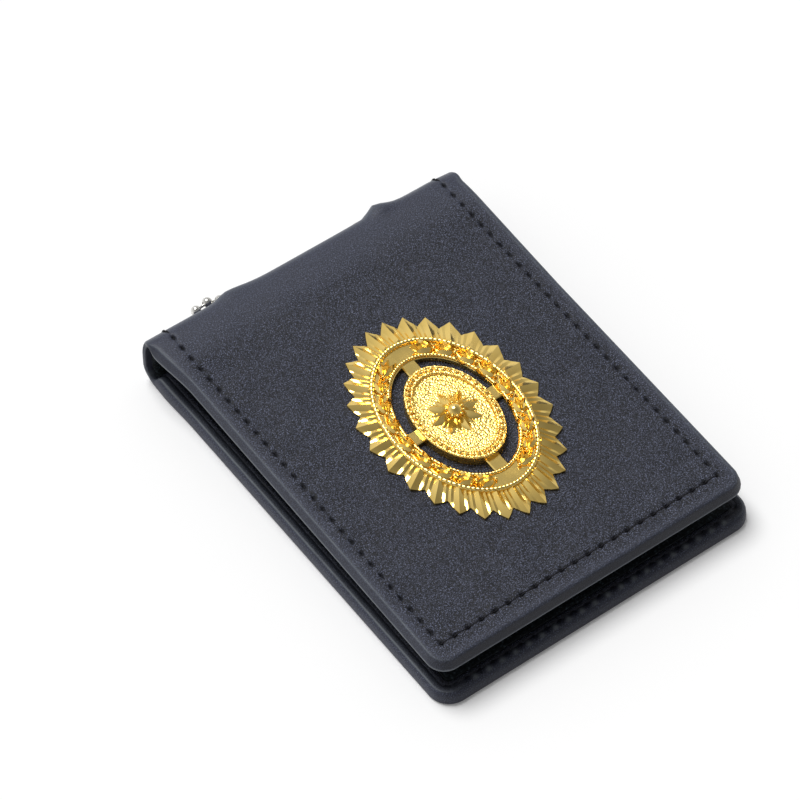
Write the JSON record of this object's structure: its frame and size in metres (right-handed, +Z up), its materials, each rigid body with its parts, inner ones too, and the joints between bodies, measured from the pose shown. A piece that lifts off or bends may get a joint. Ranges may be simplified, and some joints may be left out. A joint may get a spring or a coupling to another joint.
{
  "type": "id badge wallet",
  "caption": "Upright bifold leather badge wallet with a gilt relief badge on its cover, a windowed card frame inside and a short ball chain through eyelets in the fold.",
  "frame": {"origin": "on the resting surface, under the middle of the closed wallet with its chain", "axes": "+X to the right across the wallet, +Y from the open front edge to the fold, +Z up out of the front cover"},
  "size_m": [0.0768, 0.1046, 0.0162],
  "materials": {
    "cover_leather": "fine pebbled grain, semi-matt",
    "lining_leather": "smooth split leather, matt",
    "board": "pressed fibre board",
    "padding": "thin felt padding",
    "clear_film": "clear flexible film",
    "thread": "waxed bonded thread",
    "nickel": "bright nickel plate",
    "gilt": "gold plate, polished high points over a matt ground",
    "spring_steel": "plain spring steel"
  },
  "bodies": {
    "rear_panel": {"rear_cover": "cover_leather", "rear_board": "board", "rear_padding": "padding", "rear_lining": "lining_leather", "card_frame": "lining_leather", "card_window": "clear_film", "rear_stitching": "thread"},
    "spine": {"lower_fold_leather": "cover_leather", "lower_fold_lining": "lining_leather", "spine_leather": "cover_leather", "spine_lining": "lining_leather", "upper_fold_leather": "cover_leather", "upper_fold_lining": "lining_leather", "eyelets": "nickel", "eyelet_washers": "nickel", "chain_beads": "nickel", "chain_links": "nickel", "chain_connector": "nickel"},
    "front_panel": {"front_cover": "cover_leather", "front_board": "board", "front_padding": "padding", "front_lining": "lining_leather", "slip_pocket": "lining_leather", "front_stitching": "thread", "badge_plate": "gilt", "badge_wreath": "gilt", "badge_medallion": "gilt", "badge_rosette": "gilt", "badge_studs": "gilt", "stud_retainers": "spring_steel"}
  },
  "joints": [
    {"name": "spine_fold", "type": "hinge", "parent": "rear_panel", "child": "spine", "pos_m": [0, 0.04712, 0.00171], "axis": [-1, 0, 0], "range_deg": [0, 90], "deforming": ["lower_fold_leather", "lower_fold_lining"]},
    {"name": "cover_fold", "type": "hinge", "parent": "spine", "child": "front_panel", "pos_m": [0, 0.04709, 0.01182], "axis": [-1, 0, 0], "range_deg": [0, 91.5], "deforming": ["upper_fold_leather", "upper_fold_lining"]}
  ],
  "couplings": [
    {"joint": "cover_fold", "follows": "spine_fold", "ratio": 1.0167}
  ]
}
